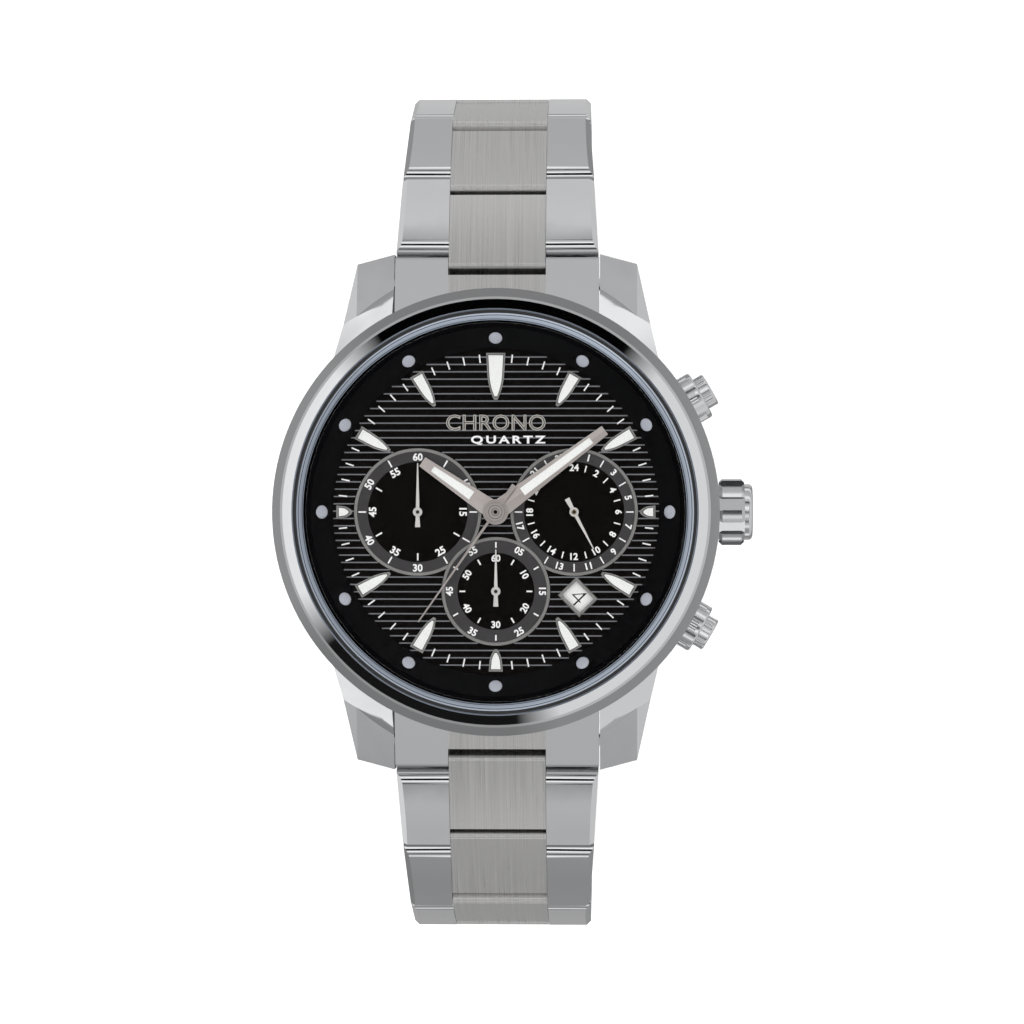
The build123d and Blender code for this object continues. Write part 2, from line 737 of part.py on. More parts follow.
def centre_piece(number, side):
    """Brushed centre of one row, which turns on the pin of the row before."""
    hinge, heading = HINGES[number - 1], HEADINGS[number - 1]
    end = PITCH - 1.02
    with BuildPart() as centre:
        with BuildSketch(chain_plane(hinge, heading, side, -side * CENTRE_HALF)) as profile:
            with BuildLine():
                ThreePointArc((-0.9, 1.5), (3.0, 1.56), (end, 1.5))
                Polyline((end, 1.5), (end, -1.5), (0.3, -1.5), (-0.9, -0.3), (-0.9, 1.5))
            make_face()
            corners = profile.vertices().group_by(Axis.Y)[-1].sort_by(Axis.X)
            fillet(corners[0], radius=0.5)
            fillet(corners[-1], radius=0.15)
            with Locations((0, 0)):
                Circle(0.53, mode=Mode.SUBTRACT)
            with Locations((4.2, 0)):
                Circle(0.5, mode=Mode.SUBTRACT)
        extrude(amount=2 * CENTRE_HALF)
    return centre


for side, label in ((1, "12"), (-1, "6")):
    for number in range(1, len(HEADINGS) + 1):
        hinge, heading = HINGES[number - 1], HEADINGS[number - 1]
        outer = outer_piece(number, side)
        centre = centre_piece(number, side)
        with BuildPart() as row:
            add(outer.part)
            mirror(outer.part, about=Plane.YZ)
            add(centre.part)
            add(cross_rod(hinge, side, heading, PITCH, HALF_WIDTHS[number] - 0.3, PIN_R).part)
            add(cross_rod(hinge, side, heading, 4.2, 6.8, 0.49).part)
        save(row, f"link_{label}_{number}")

    # end link between the lugs, with the first bracelet pin
    y0, z0 = HINGE_0
    with BuildPart() as end_link:
        with BuildSketch(chain_plane((0, 0), 0, side, -side * 9.9)):
            Polygon(
                (15, 0.7), (15, 5.6), (18.5, 5.1), (y0 + 0.5, z0 + 1.55), (y0 + 0.7, z0 + 1.35),
                (y0 + 0.7, z0), (y0 + 0.12, 0.7), align=None,
            )
        extrude(amount=19.8)
        with BuildSketch(Plane.XY.offset(-5)):
            Circle(BARREL_R + 0.15)
            with Locations((0, side * (y0 - 1.02 + 5))):
                Rectangle(2 * CENTRE_HALF + 0.1, 10)
        extrude(amount=20, mode=Mode.SUBTRACT)
        for y, z, radius in ((y0, z0, 0.5), (BAR_Y, BAR_Z, BAR_R + 0.02)):
            with BuildSketch(chain_plane((y, z), 0, side, -side * 12)):
                Circle(radius)
            extrude(amount=24, mode=Mode.SUBTRACT)
        add(cross_rod(HINGE_0, side, 0, 0, 9.7, PIN_R).part)
    save(end_link, f"end_link_{label}")

with BuildPart() as spring_bars:
    for side in (1, -1):
        add(cross_rod((BAR_Y, BAR_Z), side, 0, 0, 11.5, BAR_R).part)
save(spring_bars, "spring_bars")

# ---------------------------------------------------------------------- clasp
CLASP_Y, CLASP_Z = HINGES[-1]
BLADE_HALF = 7.0
FOLD_Y, FOLD_Z = 15.5, CLASP_Z + 0.03        # inner blade to outer blade
TURN_Y, TURN_Z = -16.5, CLASP_Z - 0.67       # outer blade to cover


def slab(low, high, half_width):
    """Box from two (y, z) corners, centred across the bracelet."""
    with BuildPart() as piece:
        with Locations((0, (low[0] + high[0]) / 2, (low[1] + high[1]) / 2)):
            Box(2 * half_width, high[0] - low[0], high[1] - low[1])
    return piece


def barrel(y, z, start, length, radius):
    """Solid barrel along X."""
    with BuildPart() as piece:
        with BuildSketch(Plane(origin=(start, y, z), z_dir=(1, 0, 0))):
            Circle(radius)
        extrude(amount=length)
    return piece


with BuildPart() as clasp_blade_inner:
    add(slab((-16.2, CLASP_Z + 0.23), (FOLD_Y - 1.0, CLASP_Z + 1.03), BLADE_HALF).part)
    add(slab((-CLASP_Y, CLASP_Z), (-16.0, CLASP_Z + 0.9), CENTRE_HALF - 0.1).part)
    add(barrel(-CLASP_Y, CLASP_Z, -CENTRE_HALF + 0.1, 2 * CENTRE_HALF - 0.2, 0.9).part)
    add(slab((FOLD_Y - 1.2, CLASP_Z + 0.23), (FOLD_Y, CLASP_Z + 0.63), 3.0).part)
    add(barrel(FOLD_Y, FOLD_Z, -3.0, 6.0, 0.6).part)
    add(barrel(-CLASP_Y, CLASP_Z, -8, 16, 0.53).part, mode=Mode.SUBTRACT)
    add(barrel(FOLD_Y, FOLD_Z, -8, 16, 0.33).part, mode=Mode.SUBTRACT)
    # lightening slot along the blade
    add(slab((-10, CLASP_Z), (10, CLASP_Z + 2), 2.2).part, mode=Mode.SUBTRACT)
save(clasp_blade_inner, "clasp_blade_inner")

with BuildPart() as clasp_blade_outer:
    add(slab((TURN_Y + 0.9, CLASP_Z - 0.97), (FOLD_Y - 0.8, CLASP_Z - 0.17), BLADE_HALF).part)
    for start in (-BLADE_HALF, 3.2):
        length = BLADE_HALF - 3.2
        middle = start + length / 2
        with Locations((middle, FOLD_Y - 0.5, CLASP_Z - 0.37)):
            Box(length, 1.0, 0.4)
        add(barrel(FOLD_Y, FOLD_Z, start, length, 0.6).part)
    with Locations((0, TURN_Y + 0.5, TURN_Z + 0.1)):
        Box(8.0, 1.0, 0.6)
    add(barrel(TURN_Y, TURN_Z, -4.0, 8.0, 0.5).part)
    add(barrel(FOLD_Y, FOLD_Z, -8, 16, 0.33).part, mode=Mode.SUBTRACT)
    add(barrel(TURN_Y, TURN_Z, -8, 16, 0.28).part, mode=Mode.SUBTRACT)
    add(barrel(FOLD_Y, FOLD_Z, -BLADE_HALF + 0.1, 2 * BLADE_HALF - 0.2, 0.3).part)
save(clasp_blade_outer, "clasp_blade_outer")

COVER_END, COVER_START = 18.0, -17.9
with BuildPart() as clasp_cover:
    with BuildSketch(Plane(origin=(0, COVER_END, CLASP_Z), x_dir=(1, 0, 0), z_dir=(0, -1, 0))):
        with BuildLine():
            Polyline((-8.7, -2.25), (-9, -1.95), (-9, 0.93), (-8.8, 1.13), (8.8, 1.13), (9, 0.93), (9, -1.95), (8.7, -2.25))
            ThreePointArc((-8.7, -2.25), (0, -2.87), (8.7, -2.25))
        make_face()
    extrude(amount=COVER_END - COVER_START)
    ends = clasp_cover.faces().filter_by(Axis.Y)
    chamfer(ends.edges().group_by(Axis.Z)[0], length=0.35)
    # hollow for the folded blades, open towards the wrist
    with Locations((0, (COVER_END + COVER_START) / 2, CLASP_Z + 1.73)):
        Box(16, 50, 6.0, mode=Mode.SUBTRACT)
    # parting lines that carry on the bracelet's three rows
    with Locations((CENTRE_HALF, 0, CLASP_Z - 3.0), (-CENTRE_HALF, 0, CLASP_Z - 3.0)):
        Box(0.12, 50, 0.7, mode=Mode.SUBTRACT)
    for x in (-9.0, 7.0):
        add(barrel(12.0, CLASP_Z - 0.05, x, 2.0, 1.05).part, mode=Mode.SUBTRACT)
    # ears that carry the outer blade's pin
    for start in (-5.6, 4.1):
        add(barrel(TURN_Y, TURN_Z, start, 1.5, 0.5).part)
        with Locations((start + 0.75, TURN_Y, CLASP_Z - 1.1)):
            Box(1.5, 1.0, 0.6)
    add(barrel(TURN_Y, TURN_Z, -5.5, 11.0, 0.28).part, mode=Mode.SUBTRACT)
    add(barrel(TURN_Y, TURN_Z, -5.4, 10.8, 0.25).part)
save(clasp_cover, "clasp_cover")

for name, sign in (("clasp_button_a", 1), ("clasp_button_b", -1)):
    with BuildPart() as clasp_button:
        with BuildSketch(Plane(origin=(sign * 7.7, 12.0, CLASP_Z - 0.05), z_dir=(sign, 0, 0))):
            Circle(1.17)
        extrude(amount=0.25)
        with BuildSketch(Plane(origin=(sign * 7.7, 12.0, CLASP_Z - 0.05), z_dir=(sign, 0, 0))):
            Circle(1.0)
        extrude(amount=1.8)
        cap = clasp_button.faces().sort_by(Axis.X)[-1 if sign > 0 else 0]
        fillet(cap.edges(), radius=0.2)
    save(clasp_button, name)
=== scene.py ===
from math import atan, atan2, cos, hypot, pi, radians, sin, sqrt

import bmesh
import bpy
from mathutils import Matrix, Vector


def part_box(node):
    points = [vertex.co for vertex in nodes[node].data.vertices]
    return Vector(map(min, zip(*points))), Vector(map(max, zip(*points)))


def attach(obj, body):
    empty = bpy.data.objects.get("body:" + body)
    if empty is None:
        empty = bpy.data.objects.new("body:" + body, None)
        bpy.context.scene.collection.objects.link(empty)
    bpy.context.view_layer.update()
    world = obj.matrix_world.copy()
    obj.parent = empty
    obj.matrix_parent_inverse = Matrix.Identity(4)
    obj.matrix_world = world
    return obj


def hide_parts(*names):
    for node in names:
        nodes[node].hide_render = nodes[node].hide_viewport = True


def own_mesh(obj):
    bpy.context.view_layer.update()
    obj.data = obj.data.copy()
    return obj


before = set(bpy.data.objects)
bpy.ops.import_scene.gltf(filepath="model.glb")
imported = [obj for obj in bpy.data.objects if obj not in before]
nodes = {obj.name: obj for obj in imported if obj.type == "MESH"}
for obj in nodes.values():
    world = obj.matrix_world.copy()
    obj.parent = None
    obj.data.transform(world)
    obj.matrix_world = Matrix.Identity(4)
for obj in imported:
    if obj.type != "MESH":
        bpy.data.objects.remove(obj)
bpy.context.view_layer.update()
MM = 0.001

# ------------------------------------------------------------ places, in mm
# The dial's layout repeats the CAD's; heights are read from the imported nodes.
DIAL_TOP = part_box("dial")[1].z / MM
DISC_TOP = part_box("date_disc")[1].z / MM
HOUR_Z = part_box("hour_hand")[0].z / MM
MINUTE_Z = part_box("minute_hand")[0].z / MM
FLOOR_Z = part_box("clasp_cover")[0].z / MM
LEFT, RIGHT, LOWER = (-7.53, 0.0), (7.53, 0.0), (0.0, -7.64)
SIDE_R, SIDE_IN, LOWER_R, LOWER_IN = 6.14, 4.82, 5.23, 3.71
RING_LEVEL, DISC_LEVEL = DIAL_TOP - 0.06, DIAL_TOP - 0.12
DATE_RADIUS, DATE_ANGLE = 11.36, 136.0
FLANGE_IN, FLANGE_OUT = (15.72, 6.7), (17.7, 8.1)     # flange slope, (radius, height)
GLASS_BEVEL = 18.28                                  # radius where the crystal's bevel starts
CENTRE_HALF = 4.715                                  # edge of the brushed centre row
HOUR_ANGLE, MINUTE_ANGLE = 304.4, 53.2               # where the hands point at rest
PUSHER_ANGLE = 30                                    # pushers, from the 3 o'clock line
CASE_BAND_R = 21.24                                  # the case is brushed inside this radius
# outer radius of the crystal's bevel, and the two dark rings (radii, half width) of its painted
# reflection
BEVEL_OUT, BEVEL_REFLECTION_LINES, BEVEL_REFLECTION_LINE_HALF = 18.95, (18.40, 18.80), 0.035
HUB_GROOVE_SHADES, HUB_GROOVE_SHADE_HALF = (0.36, 0.64), 0.03    # painted shade of grooves turned into the centre hands' hub
TURNED_PITCH = 0.09                                  # fine circles of the subdial rings
WIRE_PITCH = 0.12                                    # turns of the motor coils


def clock(angle, across, out, centre=(0.0, 0.0)):
    """Point at a clock angle: across the hand's direction and out along it."""
    a = radians(angle)
    return (
        centre[0] + across * cos(a) + out * sin(a),
        centre[1] - across * sin(a) + out * cos(a),
    )


# ------------------------------------------------------------------ materials
NOISE_SPAN = (0.3, 0.7)             # where most values of a noise lie
PATCH_SPAN = (0.35, 0.7)
HAIR_SPAN = (0.62, 0.75)            # only the highest values, for sparse scratches
GRAIN_SPAN = (0.35, 0.65)
ALONG_BRACELET = (9000, 60, 60)     # stretch of brushed grain, per metre
PATCHES = (300, 300, 300)
BRUSH_DEPTH = 0.000004
SATIN_GRAIN, SATIN_DEPTH = (16000, 16000, 16000), 0.0000004
COARSE, ROUGH_NOISE = 6.0, 0.7      # detail and roughness of brushed grain


def shade(colour, share):
    """Colour made darker or lighter."""
    return tuple(share * c for c in colour)


class Shader:
    """Thin wrapper that builds one node material."""

    def __init__(self, name, colour, metallic=0.0, roughness=0.5):
        self.material = bpy.data.materials.new(name)
        self.material.use_nodes = True
        tree = self.material.node_tree
        self.nodes, self.links = tree.nodes, tree.links
        self.bsdf = self.nodes["Principled BSDF"]
        self.bsdf.inputs["Base Color"].default_value = (*colour, 1)
        self.bsdf.inputs["Metallic"].default_value = metallic
        self.bsdf.inputs["Roughness"].default_value = roughness
        self.colour = colour

    def math(self, operation, a, b=0.0, clamp=False):
        node = self.nodes.new("ShaderNodeMath")
        node.operation, node.use_clamp = operation, clamp
        for socket, value in zip(node.inputs, (a, b)):
            self.feed(socket, value)
        return node.outputs[0]

    def feed(self, socket, value):
        if isinstance(value, bpy.types.NodeSocket):
            self.links.new(value, socket)
        else:
            socket.default_value = value

    def place(self):
        """Object coordinates, which are the row frame's, in metres."""
        return self.nodes.new("ShaderNodeTexCoord").outputs["Object"]

    def split(self, vector):
        node = self.nodes.new("ShaderNodeSeparateXYZ")
        self.links.new(vector, node.inputs[0])
        return node.outputs

    def stretched(self, vector, scale, detail=2.0, fine=1.0, rough=0.5):
        """Noise whose grain is stretched by a per-axis scale (per metre)."""
        mapping = self.nodes.new("ShaderNodeMapping")
        mapping.inputs["Scale"].default_value = scale
        self.links.new(vector, mapping.inputs["Vector"])
        noise = self.nodes.new("ShaderNodeTexNoise")
        noise.inputs["Scale"].default_value = fine
        noise.inputs["Detail"].default_value = detail
        noise.inputs["Roughness"].default_value = rough
        self.links.new(mapping.outputs[0], noise.inputs["Vector"])
        return noise.outputs["Fac"]

    def remap(self, value, low, high, to_low, to_high):
        node = self.nodes.new("ShaderNodeMapRange")
        self.feed(node.inputs["Value"], value)
        for name, v in (("From Min", low), ("From Max", high), ("To Min", to_low), ("To Max", to_high)):
            self.feed(node.inputs[name], v)
        return node.outputs[0]

    def mix(self, factor, first, second):
        """Colour mix; first and second are colours or sockets."""
        node = self.nodes.new("ShaderNodeMix")
        node.data_type = "RGBA"
        self.feed(node.inputs["Factor"], factor)
        for socket, value in ((node.inputs[6], first), (node.inputs[7], second)):
            self.feed(socket, value if isinstance(value, bpy.types.NodeSocket) else (*value, 1))
        return node.outputs[2]

    def length(self, x, y):
        """Distance from the origin of a point x, y."""
        squares = self.math("ADD", self.math("MULTIPLY", x, x), self.math("MULTIPLY", y, y))
        return self.math("SQRT", squares)

    def vary(self, noise, to_low, to_high, span=NOISE_SPAN):
        """Spreads a noise over a range of values."""
        return self.remap(noise, *span, to_low, to_high)

    def grained(self, noise, colour, dark, light):
        """Colour that wanders between two shares of itself."""
        return self.mix(self.vary(noise, 0, 1), shade(colour, dark), shade(colour, light))

    def line_at(self, radius, where, half_width):
        """1 close to a radius and 0 elsewhere; both sizes in mm."""
        off_by = self.math("ABSOLUTE", self.math("SUBTRACT", radius, where * MM))
        return self.math("LESS_THAN", off_by, half_width * MM)

    def bump(self, height, distance, strength=1.0):
        node = self.nodes.new("ShaderNodeBump")
        node.inputs["Distance"].default_value = distance
        self.feed(node.inputs["Strength"], strength)
        self.links.new(height, node.inputs["Height"])
        self.links.new(node.outputs[0], self.bsdf.inputs["Normal"])

    def set(self, name, value):
        self.feed(self.bsdf.inputs[name], value)

    def polar(self, vector):
        """Radius and angle about the watch's axis, as a vector with the height."""
        x, y, z = self.split(vector)
        radius = self.length(x, y)
        angle = self.math("ARCTAN2", y, x)
        node = self.nodes.new("ShaderNodeCombineXYZ")
        for socket, value in zip(node.inputs, (radius, angle, z)):
            self.links.new(value, socket)
        return node.outputs[0], radius


STEEL = (0.60, 0.605, 0.615)
BRUSHED = (0.55, 0.545, 0.54)


def polished_steel(name, colour=STEEL, roughness=0.07, wear=0.05):
    """Mirror-polished steel with faint hairlines and slightly uneven gloss."""
    s = Shader(name, colour, 1.0, roughness)
    place = s.place()
    patches = s.stretched(place, (260, 260, 260), 3.0)
    hair = s.stretched(place, (2200, 9000, 5200), 4.0)
    s.set("Roughness", s.vary(patches, roughness, roughness + wear, PATCH_SPAN))
    s.set("Base Color", s.mix(s.vary(hair, 0, 0.25, HAIR_SPAN), colour, shade(colour, 0.8)))
    s.bump(hair, 0.0000006, 0.5)
    return s.material


def brushed_steel(name, scale, colour=BRUSHED, roughness=0.30):
    """Satin steel whose grain runs along the axis with the small scale."""
    s = Shader(name, colour, 1.0, roughness)
    place = s.place()
    grain = s.stretched(place, scale, COARSE, rough=ROUGH_NOISE)
    s.set("Base Color", s.grained(grain, colour, 0.82, 1.12))
    s.set("Roughness", s.vary(grain, roughness - 0.06, roughness + 0.08))
    s.bump(grain, BRUSH_DEPTH)
    return s.material


def row_steel(name):
    """Bracelet steel: satin along the centre row, polished on both outers."""
    s = Shader(name, STEEL, 1.0, 0.1)
    place = s.place()
    x = s.split(place)[0]
    centre = s.math("LESS_THAN", s.math("ABSOLUTE", x), CENTRE_HALF * MM)
    grain = s.stretched(place, ALONG_BRACELET, COARSE, rough=ROUGH_NOISE)
    patches = s.stretched(place, PATCHES, 3.0)
    s.set("Base Color", s.mix(centre, STEEL, s.grained(grain, BRUSHED, 0.84, 1.12)))
    shine = s.vary(patches, 0.07, 0.12, PATCH_SPAN)
    dull = s.vary(grain, 0.24, 0.38)
    s.set("Roughness", s.remap(centre, 0, 1, shine, dull))
    s.bump(grain, BRUSH_DEPTH, s.remap(centre, 0, 1, 0.02, 1.0))
    return s.material


def case_steel(name):
    """Case: polished lugs and shoulders, the band between them brushed round."""
    s = Shader(name, STEEL, 1.0, 0.09)
    place = s.place()
    around, radius = s.polar(place)
    band = s.math("LESS_THAN", radius, CASE_BAND_R * MM)
    grain = s.stretched(around, (60, 0.5, 9000), COARSE, rough=ROUGH_NOISE)
    patches = s.stretched(place, PATCHES, 3.0)
    s.set("Roughness", s.remap(band, 0, 1, s.vary(patches, 0.07, 0.12, PATCH_SPAN), 0.26))
    s.bump(grain, BRUSH_DEPTH, s.remap(band, 0, 1, 0.02, 1.0))
    return s.material


def back_steel(name):
    """Case back: fine turned rings."""
    s = Shader(name, BRUSHED, 1.0, 0.26)
    around, _ = s.polar(s.place())
    grain = s.stretched(around, (16000, 0.4, 200), 5.0, rough=ROUGH_NOISE)
    s.set("Base Color", s.mix(grain, shade(BRUSHED, 0.8), shade(BRUSHED, 1.15)))
    s.set("Roughness", s.vary(grain, 0.2, 0.34))
    s.bump(grain, BRUSH_DEPTH)
    return s.material


def small_metal(name, colour, metallic=0.75, roughness=0.34):
    """Dial furniture: finely grained, softly bright metal."""
    s = Shader(name, colour, metallic, roughness)
    grain = s.stretched(s.place(), SATIN_GRAIN, 3.0)
    s.set("Base Color", s.grained(grain, colour, 0.93, 1.05))
    s.set("Roughness", s.vary(grain, roughness - 0.03, roughness + 0.04))
    s.bump(grain, SATIN_DEPTH)
    return s.material


def hand_metal(name, colour):
    """Grained metal of the centre hands, with dark rings round their hub: painted shade of turned
    grooves.
    """
    s = Shader(name, colour, 0.75, 0.34)
    place = s.place()
    grain = s.stretched(place, SATIN_GRAIN, 3.0)
    tone = s.grained(grain, colour, 0.93, 1.05)
    _, radius = s.polar(place)
    for groove_shade in HUB_GROOVE_SHADES:
        # painted shade: each groove ring is darkened to a quarter of the colour
        tone = s.mix(s.line_at(radius, groove_shade, HUB_GROOVE_SHADE_HALF), tone, shade(colour, 0.25))
    s.set("Base Color", tone)
    s.set("Roughness", s.vary(grain, 0.31, 0.38))
    s.bump(grain, SATIN_DEPTH)
    return s.material


def painted(name, colour, roughness=0.45, speckle=0.12, bump=0.0000015, shine=0.5):
    """Printed or lacquered surface with a faint grain."""
    s = Shader(name, colour, 0.0, roughness)
    s.bsdf.inputs["Specular IOR Level"].default_value = shine
    grain = s.stretched(s.place(), (9000, 9000, 9000), 4.0)
    s.set("Base Color", s.mix(s.vary(grain, 0, 1), shade(colour, 1 - speckle), colour))
    s.bump(grain, bump)
    return s.material


def dial_black(name):
    """Matt black dial; subdial rings are charcoal, turned in fine circles."""
    s = Shader(name, (0.006, 0.005, 0.005), 0.0, 0.5)
    place = s.place()
    x, y, _ = s.split(place)

    def distance(centre):
        dx = s.math("SUBTRACT", x, centre[0] * MM)
        dy = s.math("SUBTRACT", y, centre[1] * MM)
        return s.length(dx, dy)

    def circles(value):
        return s.math("SINE", s.math("MULTIPLY", value, 2 * pi / (TURNED_PITCH * MM)))

    def between(value, low, high):
        above = s.math("GREATER_THAN", value, low * MM)
        return s.math("MULTIPLY", above, s.math("LESS_THAN", value, high * MM))

    lower = distance(LOWER)
    ring = between(lower, LOWER_IN, LOWER_R)
    outside = s.math("GREATER_THAN", lower, LOWER_R * MM)
    turned = circles(lower)
    for centre in (LEFT, RIGHT):
        side = distance(centre)
        side_ring = s.math("MULTIPLY", between(side, SIDE_IN, SIDE_R), outside)
        ring = s.math("MAXIMUM", ring, side_ring)
        turned = s.math("ADD", turned, s.math("MULTIPLY", circles(side), side_ring))
    grain = s.stretched(place, (6000, 6000, 6000), 3.0)
    black = s.mix(grain, (0.002, 0.0017, 0.0015), (0.0045, 0.004, 0.0035))
    s.set("Base Color", s.mix(ring, black, (0.052, 0.050, 0.052)))
    s.set("Roughness", s.remap(ring, 0, 1, 0.55, 0.42))
    s.bsdf.inputs["Specular IOR Level"].default_value = 0.05
    s.bump(turned, 0.000002, s.math("MULTIPLY", ring, 0.35))
    return s.material


def crystal_glass(name):
    """Clear mineral glass; its bevelled rim is silvery metal with fine dark rings: a painted reflection
    of the bezel.
    """
    s = Shader(name, (1, 1, 1), 0.0, 0.0)
    s.bsdf.inputs["IOR"].default_value = 1.5
    s.bsdf.inputs["Specular IOR Level"].default_value = 0.2      # anti-reflective coat
    place = s.place()
    around, radius = s.polar(place)
    rim = s.math("GREATER_THAN", radius, GLASS_BEVEL * MM)
    outwards = s.remap(radius, GLASS_BEVEL * MM, BEVEL_OUT * MM, 0, 1)
    # painted reflection: the bevel is coloured as silvery metal, lighter outwards, with two dark rings
    rim_reflection = s.mix(outwards, (0.27, 0.31, 0.37), (0.47, 0.52, 0.60))
    for line in BEVEL_REFLECTION_LINES:
        rim_reflection = s.mix(s.line_at(radius, line, BEVEL_REFLECTION_LINE_HALF), rim_reflection, (0.06, 0.07, 0.09))
    s.set("Base Color", s.mix(rim, (1, 1, 1), rim_reflection))
    s.set("Metallic", rim)
    s.set("Transmission Weight", s.math("SUBTRACT", 1.0, rim))
    smudge = s.stretched(place, (300, 300, 300), 4.0)
    s.set("Roughness", s.remap(rim, 0, 1, s.remap(smudge, 0.5, 0.8, 0.0, 0.008), 0.16))
    # light falls through the glass on to the dial
    clear = s.nodes.new("ShaderNodeBsdfTransparent")
    pass_on = s.nodes.new("ShaderNodeMixShader")
    s.links.new(s.nodes.new("ShaderNodeLightPath").outputs["Is Shadow Ray"], pass_on.inputs[0])
    s.links.new(s.bsdf.outputs[0], pass_on.inputs[1])
    s.links.new(clear.outputs[0], pass_on.inputs[2])
    s.links.new(pass_on.outputs[0], s.nodes["Material Output"].inputs["Surface"])
    return s.material


def luminous(name, colour):
    """Luminous paint: pale, matt, slightly grainy."""
    s = Shader(name, colour, 0.0, 0.6)
    grain = s.stretched(s.place(), (7000, 7000, 7000), 5.0, rough=ROUGH_NOISE)
    s.set("Base Color", s.mix(s.vary(grain, 0, 1, GRAIN_SPAN), shade(colour, 0.86), colour))
    s.bump(grain, 0.000006)
    return s.material


def enamelled_wire(name):
    """Copper coil: fine turns across each coil, with painted shade between them."""
    s = Shader(name, (0.55, 0.2, 0.08), 0.9, 0.3)
    x = s.split(s.place())[0]
    turns = s.math("SINE", s.math("MULTIPLY", x, 2 * pi / (WIRE_PITCH * MM)))
    # the colour runs darker between the turns: painted shade in the creases between wires
    s.set("Base Color", s.mix(s.remap(turns, -1, 1, 0, 1), (0.3, 0.09, 0.03), (0.62, 0.25, 0.1)))
    s.bump(turns, 0.00002)
    return s.material


POLISHED = polished_steel("polished_steel_fine")
CROWN = polished_steel("crown_polish", roughness=0.15, wear=0.05)
BEZEL = polished_steel("bezel_polish", roughness=0.03, wear=0.02)
ROWS = row_steel("bracelet_rows")
CASE = case_steel("case_polish")
BACK = back_steel("case_back_turned")
FLAT_BRUSHED = brushed_steel("clasp_brushed", ALONG_BRACELET)
PLAIN_BRUSHED = brushed_steel("plain_brushed", (600, 6000, 6000))
HANDS = hand_metal("hand_satin", (0.52, 0.475, 0.455))
SMALL_HANDS = small_metal("small_hand_satin", (0.78, 0.76, 0.73), 0.5, 0.4)
FRAMES = small_metal("marker_frames", (0.50, 0.495, 0.48), 0.7, 0.22)
DIAL = dial_black("dial_matt_black")
FLANGE = painted("flange_satin_black", (0.0025, 0.0025, 0.003), 0.16, 0.3, 0.0000003, 0.06)
GLASS = crystal_glass("mineral_glass")
RUBBER = painted("gasket_rubber_black", (0.02, 0.02, 0.02), 0.7, 0.3, 0.000004)
WHITE = painted("white_print", (0.88, 0.88, 0.88), 0.5, 0.05)
GREY_LINE = painted("line_print", (0.17, 0.175, 0.19), 0.4, 0.2)
BLACK_PRINT = painted("black_print", (0.012, 0.012, 0.012), 0.5)
DATE_WHITE = painted("date_disc_white", (0.90, 0.90, 0.88), 0.5, 0.04)
SILVER_PRINT = small_metal("silver_letters", (0.62, 0.60, 0.56), 0.55, 0.3)
LETTER_CORE = painted("letter_core", (0.10, 0.098, 0.092), 0.4)
LUME = luminous("luminous_white", (0.90, 0.91, 0.89))
DOT_LUME = luminous("luminous_dots", (0.46, 0.48, 0.54))
BRASS = brushed_steel("movement_brass_grained", (3000, 3000, 3000), (0.62, 0.47, 0.2), 0.3)
RING_PLASTIC = painted("movement_ring_plastic", (0.62, 0.62, 0.6), 0.45, 0.08, 0.000004)
BOARD = painted("circuit_lacquer", (0.02, 0.14, 0.06), 0.3, 0.35, 0.000004)
CELL = brushed_steel("cell_can", (2000, 2000, 2000), (0.6, 0.6, 0.59), 0.3)
COPPER = enamelled_wire("coil_wire")

CAD_LOOKS = {
    "mid_case": CASE, "bezel": BEZEL, "crystal": GLASS, "crystal_gasket": RUBBER,
    "inner_flange": FLANGE, "dial": DIAL, "hour_markers": FRAMES, "subdial_rings": FRAMES,
    "date_frame": FRAMES, "case_back": BACK, "case_back_gasket": RUBBER,
    "movement_ring": RING_PLASTIC, "main_plate": BRASS, "circuit_board": BOARD, "battery": CELL,
    "motor_coils": COPPER, "crown_tube": PLAIN_BRUSHED, "date_disc": DATE_WHITE,
    "crown": CROWN, "pusher_start": CROWN, "pusher_reset": CROWN, "pusher_collars": CROWN,
    "minute_hand": HANDS, "hour_hand": HANDS, "second_hand": HANDS,
    "day_hand": SMALL_HANDS, "chrono_second_hand": SMALL_HANDS, "chrono_minute_hand": SMALL_HANDS,
    "cannon_pinion": BRASS, "minute_wheel": BRASS, "hour_wheel": BRASS, "day_idler": BRASS,
    "day_wheel": BRASS, "setting_lever": PLAIN_BRUSHED, "clasp_blade_inner": FLAT_BRUSHED,
    "clasp_blade_outer": FLAT_BRUSHED, "clasp_cover": ROWS, "end_link_12": ROWS, "end_link_6": ROWS,
}
for name, node in nodes.items():
    look = CAD_LOOKS.get(name, ROWS if name.startswith("link_") else POLISHED)
    for material_slot in node.material_slots:
        material_slot.material = look


# ------------------------------------------------------------- mesh building
def add_solid(mesh, outline, low, high, round_off=0.0):
    """Adds a closed plate to a bmesh from a convex or mild outline, in mm, edge rounded off."""
    count = len(outline)
    cx = sum(p[0] for p in outline) / count
    cy = sum(p[1] for p in outline) / count
    sides = zip([outline[-1], *outline], outline)
    area = sum(x1 * y2 - x2 * y1 for (x1, y1), (x2, y2) in sides)
    points = outline if area > 0 else outline[::-1]
    levels = [(low, 0.0), (high, 0.0)]
    if round_off:
        levels = [(low, 0.0), (high - round_off, 0.0), (high - 0.3 * round_off, 0.35), (high, 1.0)]
    rings = []
    for z, share in levels:
        ring = []
        for x, y in points:
            reach = hypot(x - cx, y - cy)
            scale = 1 - share * round_off / max(reach, round_off * 1.5)
            corner = Vector((cx + (x - cx) * scale, cy + (y - cy) * scale, z))
            ring.append(mesh.verts.new(corner * MM))
        rings.append(ring)
    for below, above in zip(rings, rings[1:]):
        for i in range(count):
            mesh.faces.new((below[i - 1], below[i], above[i], above[i - 1]))
    mesh.faces.new(rings[0][::-1])
    mesh.faces.new(rings[-1])


